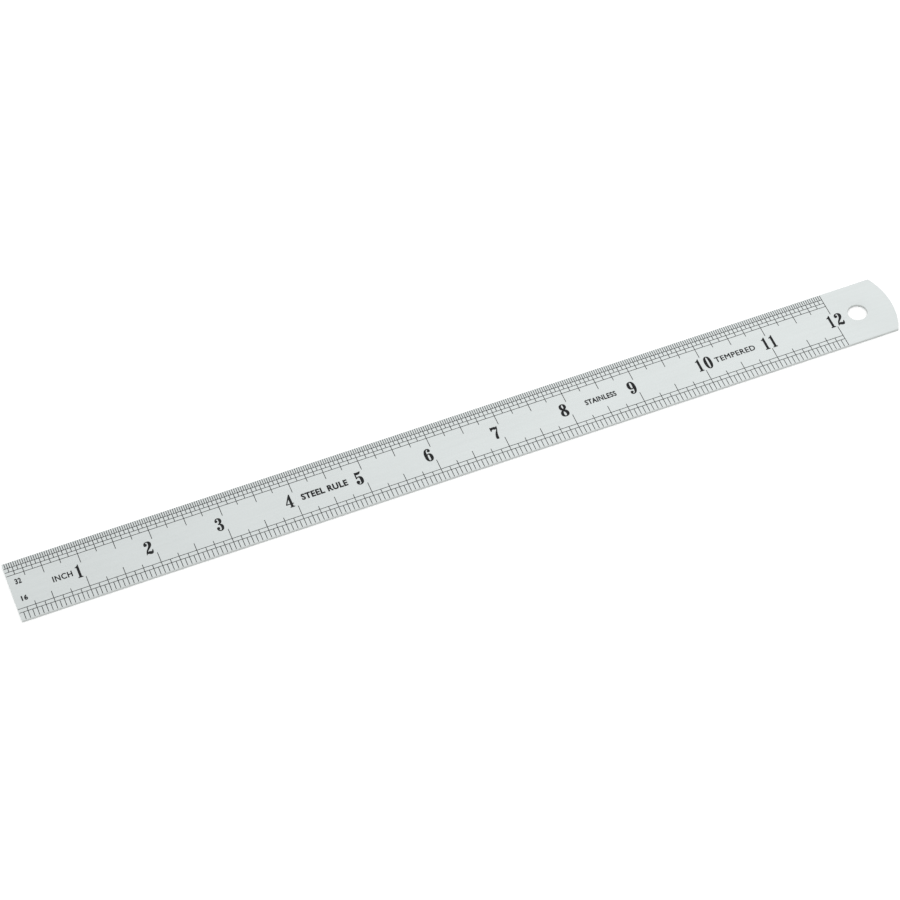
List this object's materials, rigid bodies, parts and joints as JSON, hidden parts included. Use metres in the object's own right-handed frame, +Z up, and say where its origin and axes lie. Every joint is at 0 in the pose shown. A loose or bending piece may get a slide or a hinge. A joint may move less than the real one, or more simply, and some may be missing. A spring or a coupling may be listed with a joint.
{
  "type": "steel ruler",
  "caption": "Flat steel ruler graduated in black thirty-seconds and sixteenths of an inch, with a rounded end and a hanging hole.",
  "frame": {"origin": "the middle of the underside, on the surface that the ruler lies on", "axes": "+X along the ruler from its zero end to the hanging hole, +Y to the edge with the thirty-seconds, +Z up out of the graduated face"},
  "size_m": [0.327, 0.025, 0.001],
  "materials": {
    "steel": "satin stainless steel",
    "ink": "black fill in etched marks"
  },
  "bodies": {
    "root": {"steel_strip": "steel", "upper_inch_1": "ink", "upper_inch_2": "ink", "upper_inch_3": "ink", "upper_inch_4": "ink", "upper_inch_5": "ink", "upper_inch_6": "ink", "upper_inch_7": "ink", "upper_inch_8": "ink", "upper_inch_9": "ink", "upper_inch_10": "ink", "upper_inch_11": "ink", "upper_inch_12": "ink", "lower_inch_1": "ink", "lower_inch_2": "ink", "lower_inch_3": "ink", "lower_inch_4": "ink", "lower_inch_5": "ink", "lower_inch_6": "ink", "lower_inch_7": "ink", "lower_inch_8": "ink", "lower_inch_9": "ink", "lower_inch_10": "ink", "lower_inch_11": "ink", "lower_inch_12": "ink", "figure_1": "ink", "figure_2": "ink", "figure_3": "ink", "figure_4": "ink", "figure_5": "ink", "figure_6": "ink", "figure_7": "ink", "figure_8": "ink", "figure_9": "ink", "figure_10_tens": "ink", "figure_10_units": "ink", "figure_11_tens": "ink", "figure_11_units": "ink", "figure_12_tens": "ink", "figure_12_units": "ink"}
  },
  "joints": []
}
